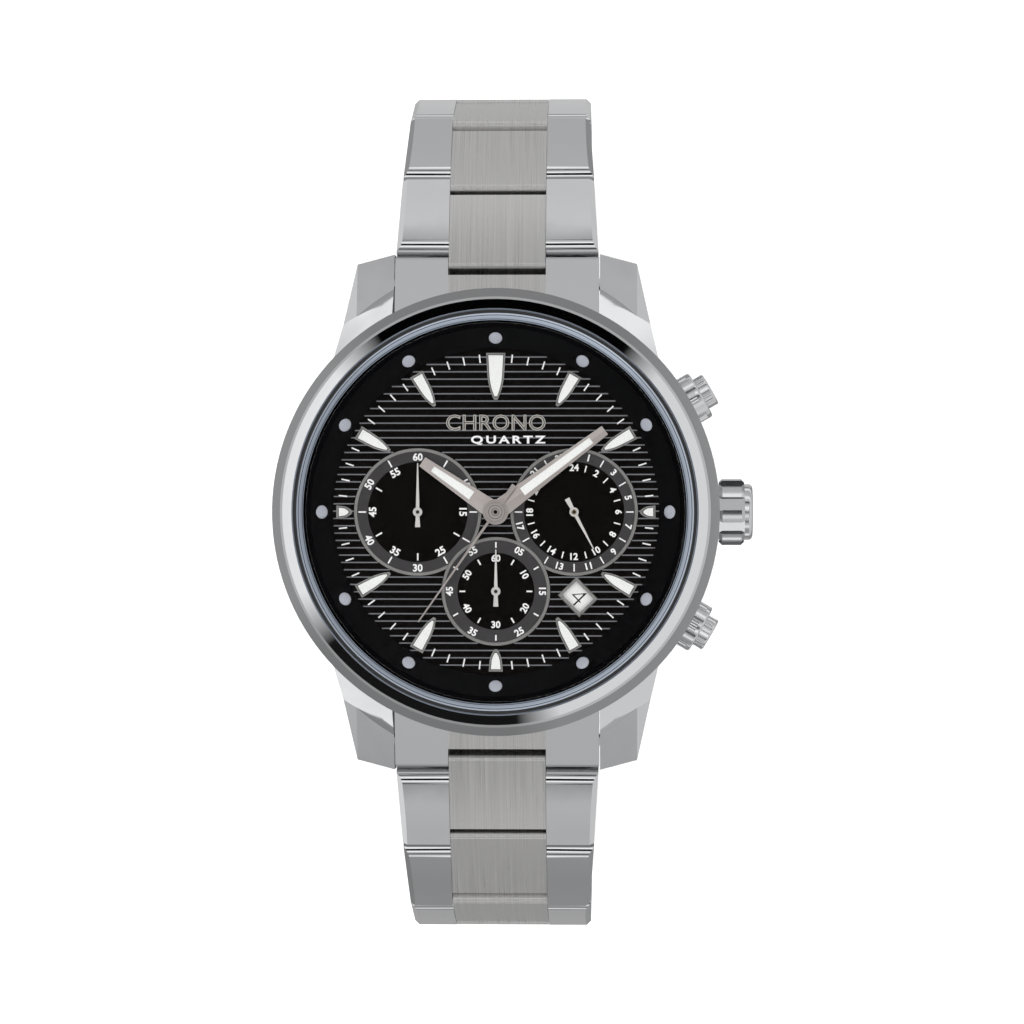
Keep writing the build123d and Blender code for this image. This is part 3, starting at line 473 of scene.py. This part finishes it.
def finish_piece(name, mesh, material, body, smooth=False):
    """Turns a bmesh into an object that rides on a body."""
    data = bpy.data.meshes.new(name)
    bmesh.ops.recalc_face_normals(mesh, faces=mesh.faces)
    mesh.to_mesh(data)
    mesh.free()
    data.materials.append(material)
    if smooth:
        data.polygons.foreach_set("use_smooth", [True] * len(data.polygons))
        data.set_sharp_from_angle(angle=radians(50))
    piece = bpy.data.objects.new(name, data)
    bpy.context.scene.collection.objects.link(piece)
    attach(piece, body)
    return piece


def stroke(angle, inner, outer, width, centre=(0.0, 0.0)):
    """Outline of a short radial line."""
    half = width / 2
    corners = ((-half, inner), (-half, outer), (half, outer), (half, inner))
    return [clock(angle, across, out, centre) for across, out in corners]


def disc(centre, radius, sides):
    """Outline of a small round plate."""
    steps = [2 * pi * i / sides for i in range(sides)]
    return [(centre[0] + radius * cos(a), centre[1] + radius * sin(a)) for a in steps]


def arc_through(start, via, end, steps):
    """Points on the circle through three points, start included, end left out."""
    (ax, ay), (bx, by), (cx, cy) = start, via, end
    d = 2 * (ax * (by - cy) + bx * (cy - ay) + cx * (ay - by))
    a2, b2, c2 = ax * ax + ay * ay, bx * bx + by * by, cx * cx + cy * cy
    ux = (a2 * (by - cy) + b2 * (cy - ay) + c2 * (ay - by)) / d
    uy = (a2 * (cx - bx) + b2 * (ax - cx) + c2 * (bx - ax)) / d
    radius = hypot(ax - ux, ay - uy)
    first = atan2(ay - uy, ax - ux)
    turn = atan2(cy - uy, cx - ux) - first
    turn = (turn + pi) % (2 * pi) - pi
    return [
        (ux + radius * cos(first + turn * i / steps), uy + radius * sin(first + turn * i / steps))
        for i in range(steps)
    ]


def bullet(outer, inner, width):
    """Marker outline, as in the CAD: flat at the rim, curved to a narrow tip."""
    half, neck, tip = width / 2, 0.44 * width, 0.09 * width
    shoulder = inner + 0.55 * (outer - inner)
    side, middle = 0.5 * (neck + tip) + 0.07 * width, 0.5 * (shoulder + inner)
    right = arc_through((neck, shoulder), (side, middle), (tip, inner), 8)
    left = arc_through((-tip, inner), (-side, middle), (-neck, shoulder), 8)
    return [(-half, outer), (half, outer), *right, (tip, inner), *left, (-neck, shoulder)]


def marker_size(hour):
    """Outer radius, inner radius and width of an applied marker."""
    if hour == 12:
        return 15.3, 10.78, 1.85
    if hour == 6:
        return 15.35, 13.2, 1.36
    if hour in (3, 9):
        return 15.35, 13.85, 1.27
    return 15.3, 11.75, 1.41


# ----------------------------------------------------------- luminous inserts
def marker_plates(name, material, inset, low, high, round_off=0.0):
    """One plate in each marker's pocket, set in from the marker's outline."""
    mesh = bmesh.new()
    for hour in range(1, 13):
        outer, inner, width = marker_size(hour)
        shape = bullet(outer - inset, inner + 1.6 * inset, width - 2 * inset)
        add_solid(mesh, [clock(hour * 30, x, y) for x, y in shape], low, high, round_off)
    finish_piece(name, mesh, material, "case")


# painted shade: black plates under the lume, showing as a thin dark ring between each marker's frame and
# its lume
SHADE_RING_INSET, LUME_INSET = 0.155, 0.215
marker_plates("marker_shade_rings", BLACK_PRINT, SHADE_RING_INSET, DIAL_TOP + 0.19, DIAL_TOP + 0.22)
marker_plates("marker_lume", LUME, LUME_INSET, DIAL_TOP + 0.2, DIAL_TOP + 0.30, 0.05)

# the hands' windows: near end and its half width, far end and its half width
HOUR_WINDOW = (2.76, 0.48, 7.37, 0.29)
MINUTE_WINDOW = (3.2, 0.43, 11.5, 0.33)
WINDOW_GAP = 0.02


def hand_lume(name, body, angle, base, window):
    """Luminous strip that fills a hand's window."""
    near, near_half, far, far_half = window
    shape = [
        (-near_half, near + WINDOW_GAP), (near_half, near + WINDOW_GAP),
        (far_half, far - WINDOW_GAP), (-far_half, far - WINDOW_GAP),
    ]
    mesh = bmesh.new()
    add_solid(mesh, [clock(angle, x * 0.97, y) for x, y in shape], base + 0.05, base + 0.17, 0.03)
    finish_piece(name, mesh, LUME, body)


hand_lume("hour_hand_lume", "hours", HOUR_ANGLE, HOUR_Z, HOUR_WINDOW)
hand_lume("minute_hand_lume", "minutes", MINUTE_ANGLE, MINUTE_Z, MINUTE_WINDOW)

# twelve round dots on the flange's slope
DOT_AT, DOT_R, DOT_FLATNESS = 16.7, 0.64, 0.22
flange_rise = (FLANGE_OUT[1] - FLANGE_IN[1]) / (FLANGE_OUT[0] - FLANGE_IN[0])
dot_height = FLANGE_IN[1] + (DOT_AT - FLANGE_IN[0]) * flange_rise
mesh = bmesh.new()
for hour in range(12):
    x, y = clock(hour * 30, 0, DOT_AT)
    place = (
        Matrix.Translation((x * MM, y * MM, dot_height * MM))
        @ Matrix.Rotation(-radians(hour * 30), 4, "Z")
        @ Matrix.Rotation(atan(flange_rise), 4, "X")
        @ Matrix.Diagonal((1, 1, DOT_FLATNESS, 1))
    )
    bmesh.ops.create_uvsphere(mesh, u_segments=32, v_segments=16, radius=DOT_R * MM, matrix=place)
finish_piece("flange_dots", mesh, DOT_LUME, "case", smooth=True)

# dark discs on the small hands' hubs: painted shade of the holes in their centres
HUB_SHADE_R, HUB_SIDES = 0.17, 24
for name, body, centre in (
    ("chrono_minute_hub", "chrono_minutes", LEFT),
    ("day_hub", "day", RIGHT),
    ("chrono_second_hub", "chrono_seconds", LOWER),
):
    hub_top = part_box(name.replace("hub", "hand"))[1].z / MM
    mesh = bmesh.new()
    add_solid(mesh, disc(centre, HUB_SHADE_R, HUB_SIDES), hub_top - 0.05, hub_top + 0.01)
    finish_piece(name, mesh, BLACK_PRINT, body)

# ------------------------------------------------------------- dial printing
LINE_STEP, LINE_START, LINE_WIDTH, LINE_REACH = 0.706, -6.27, 0.12, 15.7
LINE_GAP, LINE_END = 0.05, 0.3         # from a subdial, and from the dial's rim
CENTRE_CLEAR = 1.1                     # no lines under the hands' hub
DATE_HALF_WIDTH, DATE_HALF_LENGTH = 1.2, 1.42
MINUTE_MARK = (14.42, 15.22, 0.13)     # inner end, outer end, width


def without(spans, low, high):
    """Spans with low..high taken out."""
    kept = []
    for a, b in spans:
        if high <= a or low >= b:
            kept.append((a, b))
            continue
        if a < low:
            kept.append((a, low))
        if b > high:
            kept.append((high, b))
    return kept


def reach(outline, y):
    """Lowest and highest x of a convex outline at height y, or None."""
    crossings = []
    for (x1, y1), (x2, y2) in zip(outline, outline[1:] + outline[:1]):
        if (y1 - y) * (y2 - y) < 0:
            crossings.append(x1 + (x2 - x1) * (y - y1) / (y2 - y1))
    return (min(crossings), max(crossings)) if crossings else None


DATE_HOLE = stroke(
    DATE_ANGLE, DATE_RADIUS - DATE_HALF_LENGTH, DATE_RADIUS + DATE_HALF_LENGTH, 2 * DATE_HALF_WIDTH
)
ROUND_GAPS = ((LEFT, SIDE_R), (RIGHT, SIDE_R), (LOWER, LOWER_R), ((0, 0), CENTRE_CLEAR))


def line_spans(y):
    """Stretches of the printed line at height y, between the subdials and the date."""
    half = sqrt(LINE_REACH**2 - y * y)
    spans = [(-half, half)]
    for (cx, cy), radius in ROUND_GAPS:
        if abs(y - cy) < radius + LINE_GAP:
            chord = sqrt((radius + LINE_GAP) ** 2 - (y - cy) ** 2)
            spans = without(spans, cx - chord, cx + chord)
    hole = reach(DATE_HOLE, y)
    return without(spans, *hole) if hole else spans


mesh = bmesh.new()
for row in range(-24, 35):
    y = LINE_START + row * LINE_STEP
    if abs(y) > LINE_REACH - LINE_END:
        continue
    for a, b in line_spans(y):
        low, high = y - LINE_WIDTH / 2, y + LINE_WIDTH / 2
        add_solid(mesh, [(a, low), (b, low), (b, high), (a, high)], DIAL_TOP - 0.02, DIAL_TOP + 0.02)
finish_piece("dial_lines", mesh, GREY_LINE, "case")

mesh = bmesh.new()
for minute in range(60):
    if minute % 5:
        add_solid(mesh, stroke(minute * 6, *MINUTE_MARK), DIAL_TOP - 0.01, DIAL_TOP + 0.03)


def subdial_mark(angle, span, width, centre):
    """Short white mark, down to the subdial's disc."""
    add_solid(mesh, stroke(angle, *span, width, centre), DISC_LEVEL - 0.01, RING_LEVEL + 0.02)


# Where a number stands on the disc its mark is on the ring, and the other way round.
SIDE_RING_MARK, LEFT_DISC_MARK, RIGHT_DISC_MARK = (4.99, 5.72), (3.98, 4.66), (3.95, 4.60)
LOWER_RING_MARK, LOWER_DISC_MARK = (4.20, 4.74), (2.95, 3.50)
for step in range(1, 12):
    subdial_mark(step * 30, SIDE_RING_MARK if step % 2 else LEFT_DISC_MARK, 0.14, LEFT)
subdial_mark(120, (4.99, 5.78), 0.14, LEFT)          # in the place of the number 20
for step in range(24):
    if step not in (21, 23):
        subdial_mark(step * 15, RIGHT_DISC_MARK if step % 2 else SIDE_RING_MARK, 0.12, RIGHT)
for step in range(12):
    subdial_mark(step * 30, LOWER_DISC_MARK if step % 2 else LOWER_RING_MARK, 0.14, LOWER)
finish_piece("dial_marks", mesh, WHITE, "case")


def text_mesh(text, height, width=None, weight=0.0, spacing=1.0):
    """Flat solid text as a mesh, one unit thick, scaled to a height and perhaps a width in mm."""
    curve = bpy.data.curves.new("text", "FONT")
    curve.body, curve.size = text, 1.0
    curve.offset, curve.space_character = weight, spacing
    curve.extrude, curve.resolution_u = 0.5, 3
    holder = bpy.data.objects.new("text", curve)
    bpy.context.scene.collection.objects.link(holder)
    bpy.context.view_layer.update()
    data = bpy.data.meshes.new_from_object(holder.evaluated_get(bpy.context.evaluated_depsgraph_get()))
    bpy.data.objects.remove(holder)
    bpy.data.curves.remove(curve)
    xs, ys = [v.co.x for v in data.vertices], [v.co.y for v in data.vertices]
    sy = height / (max(ys) - min(ys))
    sx = width / (max(xs) - min(xs)) if width else sy
    middle = Vector(((max(xs) + min(xs)) / 2, (max(ys) + min(ys)) / 2, 0))
    data.transform(Matrix.Diagonal((sx, sy, 1, 1)) @ Matrix.Translation(-middle))
    return data


def add_text(mesh, data, x, y, low, high, turn=0.0):
    """Adds a text mesh to a bmesh, centred at x, y and turned clockwise by degrees."""
    place = (
        Matrix.Translation((x * MM, y * MM, (low + high) / 2 * MM))
        @ Matrix.Rotation(-radians(turn), 4, "Z")
        @ Matrix.Diagonal((MM, MM, (high - low) * MM, 1))
    )
    copy = data.copy()
    copy.transform(place)
    mesh.from_mesh(copy)
    bpy.data.meshes.remove(copy)


def readable(angle):
    """Turn of a number at a clock angle: feet inwards above, feet outwards below."""
    return angle + 180 if 120 <= angle <= 255 else angle


NUMBER_WEIGHT = 0.03
LEFT_SIZE, RIGHT_SIZE, LOWER_SIZE = 0.74, 0.68, 0.69      # number heights
LEFT_TOP_OUT, LEFT_DISC_OUT, SIDE_RING_OUT = 5.30, 4.36, 5.38
RIGHT_DISC_OUT, LOWER_DISC_OUT, LOWER_RING_OUT = 4.28, 3.20, 4.48
mesh = bmesh.new()


def add_number(label, size, angle, out, level, centre):
    """Number at a clock angle of a subdial, printed on the surface at a level."""
    x, y = clock(angle, 0, out, centre)
    data = text_mesh(label, size, weight=NUMBER_WEIGHT)
    add_text(mesh, data, x, y, level - 0.01, level + 0.025, readable(angle))


def sixty(step):
    """Label of a twelfth: 60, 05, 10 and so on."""
    return f"{step * 5:02d}" if step else "60"


add_number("60", LEFT_SIZE, 0, LEFT_TOP_OUT, RING_LEVEL, LEFT)
for step in range(1, 12):
    if step % 2:
        add_number(sixty(step), LEFT_SIZE, step * 30, LEFT_DISC_OUT, DISC_LEVEL, LEFT)
    elif step != 4:
        add_number(sixty(step), LEFT_SIZE, step * 30, SIDE_RING_OUT, RING_LEVEL, LEFT)
for hour in range(24):
    label = str(hour or 24)
    if hour % 2 == 0 and hour != 22:
        add_number(label, RIGHT_SIZE, hour * 15, RIGHT_DISC_OUT, DISC_LEVEL, RIGHT)
    elif hour % 2 and hour not in (15, 19):
        add_number(label, RIGHT_SIZE, hour * 15, SIDE_RING_OUT, RING_LEVEL, RIGHT)
for step in range(12):
    if step % 2:
        add_number(sixty(step), LOWER_SIZE, step * 30, LOWER_RING_OUT, RING_LEVEL, LOWER)
    else:
        add_number(sixty(step), LOWER_SIZE, step * 30, LOWER_DISC_OUT, DISC_LEVEL, LOWER)
finish_piece("subdial_numbers", mesh, WHITE, "case")

# generic wording: what the watch is, not who made it
mesh = bmesh.new()
add_text(mesh, text_mesh("CHRONO", 1.55, 9.6, 0.02, 1.05), 0.0, 8.6, DIAL_TOP - 0.01, DIAL_TOP + 0.12)
finish_piece("dial_word_raised", mesh, SILVER_PRINT, "case")
mesh = bmesh.new()
add_text(mesh, text_mesh("CHRONO", 1.40, 9.45, -0.022, 1.06), 0.0, 8.6, DIAL_TOP + 0.11, DIAL_TOP + 0.13)
finish_piece("dial_word_core", mesh, LETTER_CORE, "case")
mesh = bmesh.new()
add_text(mesh, text_mesh("QUARTZ", 0.90, 7.2, 0.03, 1.35), 1.2, 6.9, DIAL_TOP - 0.01, DIAL_TOP + 0.04)
finish_piece("dial_word_printed", mesh, WHITE, "case")

# date numbers all round the disc
DATE_SIZE, DATE_WEIGHT, DAYS, SHOWN_DAY = 1.75, -0.02, 31, 4
mesh = bmesh.new()
for day in range(1, DAYS + 1):
    angle = DATE_ANGLE - (day - SHOWN_DAY) * 360 / DAYS
    x, y = clock(angle, 0, DATE_RADIUS)
    data = text_mesh(str(day), DATE_SIZE, weight=DATE_WEIGHT)
    add_text(mesh, data, x, y, DISC_TOP - 0.01, DISC_TOP + 0.01, angle - 90)
finish_piece("date_numbers", mesh, BLACK_PRINT, "date")

# ------------------------------------------------- springs behind the pushers
# Each coil is a copy of its spring that stays with the case, against its seat; the spring itself is
# hidden.
for name, joint, angle in (
    ("pusher_start_spring", "start_push", PUSHER_ANGLE),
    ("pusher_reset_spring", "reset_push", -PUSHER_ANGLE),
):
    coil = bpy.data.objects.new(f"{name}_coil", nodes[name].data.copy())
    bpy.context.scene.collection.objects.link(coil)
    coil.matrix_world = nodes[name].matrix_world.copy()
    coil.data.materials.clear()
    coil.data.materials.append(POLISHED)
    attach(coil, "case")
    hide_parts(name)
    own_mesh(coil)

# ---------------------------------------------------------------- floor
FLOOR_HALF, FLOOR_GAP, FLOOR_GLOW = 1.5, 0.05, 0.22
corners = [(x * FLOOR_HALF, y * FLOOR_HALF, 0) for x, y in ((-1, -1), (1, -1), (1, 1), (-1, 1))]
data = bpy.data.meshes.new("floor")
data.from_pydata(corners, [], [(0, 1, 2, 3)])
floor = bpy.data.objects.new("floor", data)
floor.location.z = (FLOOR_Z - FLOOR_GAP) * MM
bpy.context.scene.collection.objects.link(floor)
floor_look = painted("floor_pale", (0.93, 0.93, 0.93), 0.8, 0.01, 0.00001)
floor_bsdf = floor_look.node_tree.nodes["Principled BSDF"]
floor_bsdf.inputs["Emission Color"].default_value = (1, 1, 1, 1)
floor_bsdf.inputs["Emission Strength"].default_value = FLOOR_GLOW
data.materials.append(floor_look)
floor.visible_glossy = False            # steel mirrors the studio, not the white sweep

# ---------------------------------------------------------------- camera
CAMERA_DISTANCE = 0.330
CAMERA_TURN = radians(1.8)
VIEW_WIDTH = 0.0981                     # seen at the bezel's widest level
AIM = Vector((0.0016, 0.0, 0.0085))
SENSOR = 36.0
camera_data = bpy.data.cameras.new("camera")
camera_data.sensor_width = SENSOR
camera_data.lens = SENSOR * CAMERA_DISTANCE / VIEW_WIDTH
camera_data.clip_start, camera_data.clip_end = 0.01, 20
camera = bpy.data.objects.new("camera", camera_data)
camera.location = AIM + Vector((sin(CAMERA_TURN), 0, cos(CAMERA_TURN))) * CAMERA_DISTANCE
camera.rotation_euler = (0, CAMERA_TURN, 0)
bpy.context.scene.collection.objects.link(camera)
bpy.context.scene.camera = camera

# ---------------------------------------------------------------- light
# A soft studio in the world shader: pale cards left and right, dark gaps above and below the
# watch, a dim zenith where the camera stands.
STUDIO_STRENGTH, LAMP_STRENGTH, LAMP_ANGLE = 1.15, 2.2, radians(50)
world = bpy.data.worlds.new("studio")
bpy.context.scene.world = world
world.use_nodes = True
wn, wl = world.node_tree.nodes, world.node_tree.links


def world_math(operation, a, b=0.0, clamp=False):
    node = wn.new("ShaderNodeMath")
    node.operation, node.use_clamp = operation, clamp
    for socket, value in zip(node.inputs, (a, b)):
        if isinstance(value, bpy.types.NodeSocket):
            wl.new(value, socket)
        else:
            socket.default_value = value
    return node.outputs[0]


def world_ramp(value, stops):
    """Smooth ramp from (position, brightness or colour) stops."""
    node = wn.new("ShaderNodeValToRGB")
    node.color_ramp.interpolation = "EASE"
    elements = node.color_ramp.elements
    while len(elements) < len(stops):
        elements.new(0.5)
    for element, (position, colour) in zip(elements, stops):
        element.position = position
        element.color = (*colour, 1) if isinstance(colour, tuple) else (colour, colour, colour, 1)
    wl.new(value, node.inputs[0])
    return node.outputs[0]


def world_mix(factor, first, second):
    node = wn.new("ShaderNodeMix")
    node.data_type = "RGBA"
    wl.new(factor, node.inputs["Factor"])
    wl.new(first, node.inputs[6])
    wl.new(second, node.inputs[7])
    return node.outputs[2]


direction = wn.new("ShaderNodeTexCoord").outputs["Generated"]
axes = wn.new("ShaderNodeSeparateXYZ")
wl.new(direction, axes.inputs[0])
dx, dy, dz = axes.outputs
away = world_math("DIVIDE", world_math("ARCCOSINE", dz), pi)          # 0 at the zenith, 0.5 level
flat_square = world_math("ADD", world_math("MULTIPLY", dx, dx), world_math("MULTIPLY", dy, dy))
level = world_math("SQRT", flat_square)                              # length along the floor


def off(degrees):
    """Ramp position of an angle off the zenith."""
    return degrees / 180


# Brightness against the angle off the zenith, for the four sides of the studio.
right = world_ramp(away, [
    (off(0), 0.0), (off(7), 0.005), (off(14), 0.55), (off(26), 0.55), (off(37), 0.92),
    (off(52), 0.70), (off(75), 0.80), (off(98), 0.60),
    (off(104), 0.80), (off(113), 0.80), (off(116.5), 0.33), (off(180), 0.30),
])
left = world_ramp(away, [
    (off(0), 0.0), (off(7), 0.005), (off(14), 0.60), (off(26), 0.70), (off(37), 1.25),
    (off(50), 0.80), (off(75), 0.60), (off(98), 0.60),
    (off(104), 0.80), (off(113), 0.80), (off(116.5), 0.36), (off(180), 0.30),
])
upper = world_ramp(away, [
    (off(0), 0.0), (off(8), 0.003), (off(11.5), 1.25), (off(21), 1.25), (off(24.5), 0.62),
    (off(34.5), 0.60), (off(37.5), 0.001), (off(43), 0.001), (off(47), 0.78), (off(55.5), 0.72),
    (off(59), 1.20), (off(66), 1.20), (off(70), 0.62), (off(83), 0.56), (off(99), 0.50),
    (off(104), 1.15), (off(113), 1.15), (off(116.5), 0.27), (off(126), 0.30), (off(135), 0.62),
    (off(148), 0.62), (off(180), 0.24),
])
lower = world_ramp(away, [
    (off(0), 0.0), (off(8), 0.003), (off(11.5), 1.25), (off(21), 1.25), (off(24.5), 0.60),
    (off(34.5), 0.52), (off(37.5), 0.010), (off(43), 0.010), (off(47), 0.62), (off(55.5), 0.55),
    (off(59), 1.15), (off(66), 1.15), (off(70), 0.44), (off(83), 0.34), (off(99), 0.40),
    (off(104), 1.15), (off(113), 1.15), (off(116.5), 0.24), (off(126), 0.28), (off(135), 0.42),
    (off(148), 0.42), (off(180), 0.22),
])


def turned_towards(x_share, y_share, start, gain):
    """1 where the heading leans to a side, 0 elsewhere, with a soft edge."""
    lean = world_math("ADD", world_math("MULTIPLY", dx, x_share), world_math("MULTIPLY", dy, y_share))
    lean = world_math("DIVIDE", lean, world_math("MAXIMUM", level, 0.001))
    return world_math("MULTIPLY", world_math("SUBTRACT", lean, start), gain, clamp=True)


ends = world_mix(turned_towards(0, 1, -0.2, 2.5), lower, upper)
studio = world_mix(turned_towards(1, -0.3, 0.35, 5.0), ends, right)
studio = world_mix(turned_towards(-1, 0.15, 0.71, 6.0), studio, left)
background = wn["Background"]
wl.new(studio, background.inputs["Color"])
background.inputs["Strength"].default_value = STUDIO_STRENGTH
plain = wn.new("ShaderNodeBackground")
plain.inputs["Color"].default_value = (0.93, 0.93, 0.94, 1)
plain.inputs["Strength"].default_value = 1.0
chooser = wn.new("ShaderNodeMixShader")
wl.new(wn.new("ShaderNodeLightPath").outputs["Is Camera Ray"], chooser.inputs[0])
wl.new(background.outputs[0], chooser.inputs[1])
wl.new(plain.outputs[0], chooser.inputs[2])
wl.new(chooser.outputs[0], wn["World Output"].inputs["Surface"])

# a very soft lamp that lifts the print and the floor without showing in the steel
lamp_data = bpy.data.lights.new("soft_top", "SUN")
lamp_data.energy, lamp_data.angle = LAMP_STRENGTH, LAMP_ANGLE
lamp = bpy.data.objects.new("soft_top", lamp_data)
lamp.location = (0, 0, 0.5)
lamp.visible_glossy = lamp.visible_transmission = False
bpy.context.scene.collection.objects.link(lamp)

bpy.context.scene.view_settings.view_transform = "Standard"
bpy.context.scene.view_settings.look = "None"
bpy.context.scene.cycles.use_denoising = True
